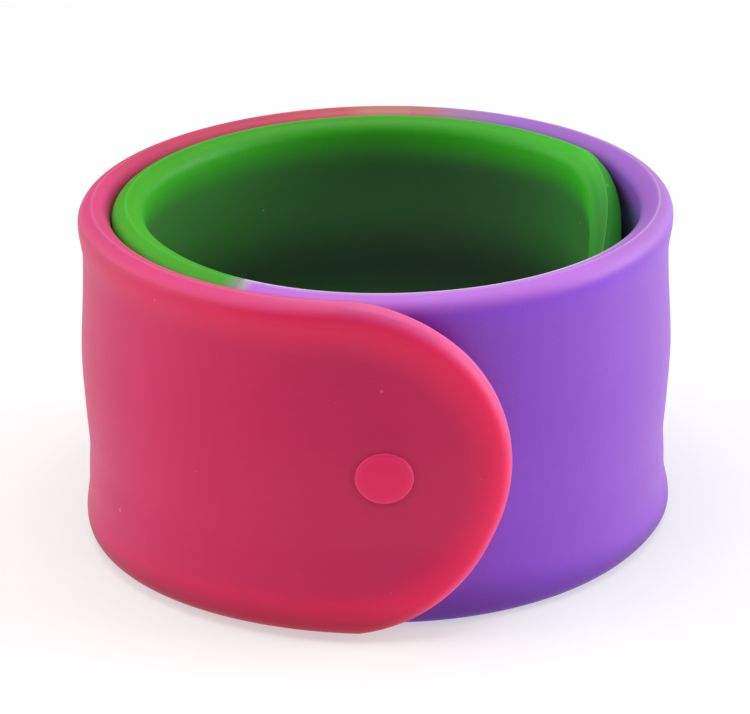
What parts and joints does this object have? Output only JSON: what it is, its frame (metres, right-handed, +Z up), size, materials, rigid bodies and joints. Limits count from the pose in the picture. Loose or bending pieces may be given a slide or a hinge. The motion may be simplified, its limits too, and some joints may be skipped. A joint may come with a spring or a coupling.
{
  "type": "slap bracelet",
  "caption": "Flat silicone band in pink, purple and green with round ends, coiled over itself into a bracelet that springs open to go round a wrist.",
  "frame": {"origin": "on the surface that the coil stands on, below the middle of its outline seen from above", "axes": "+Z up along the coil's axis, -Y towards the front, where the outer end's plug is, +X to the right seen from the front"},
  "size_m": [0.0446, 0.0458, 0.0254],
  "materials": {
    "pink_silicone": "matt moulded silicone with a soft sheen",
    "purple_silicone": "matt moulded silicone with a soft sheen",
    "green_silicone": "matt moulded silicone with a soft sheen",
    "plug_silicone": "matt moulded silicone, a little lighter than the band"
  },
  "bodies": {
    "root": {"pink_section": "pink_silicone", "purple_section": "purple_silicone", "green_section": "green_silicone", "plug": "plug_silicone"}
  },
  "joints": []
}
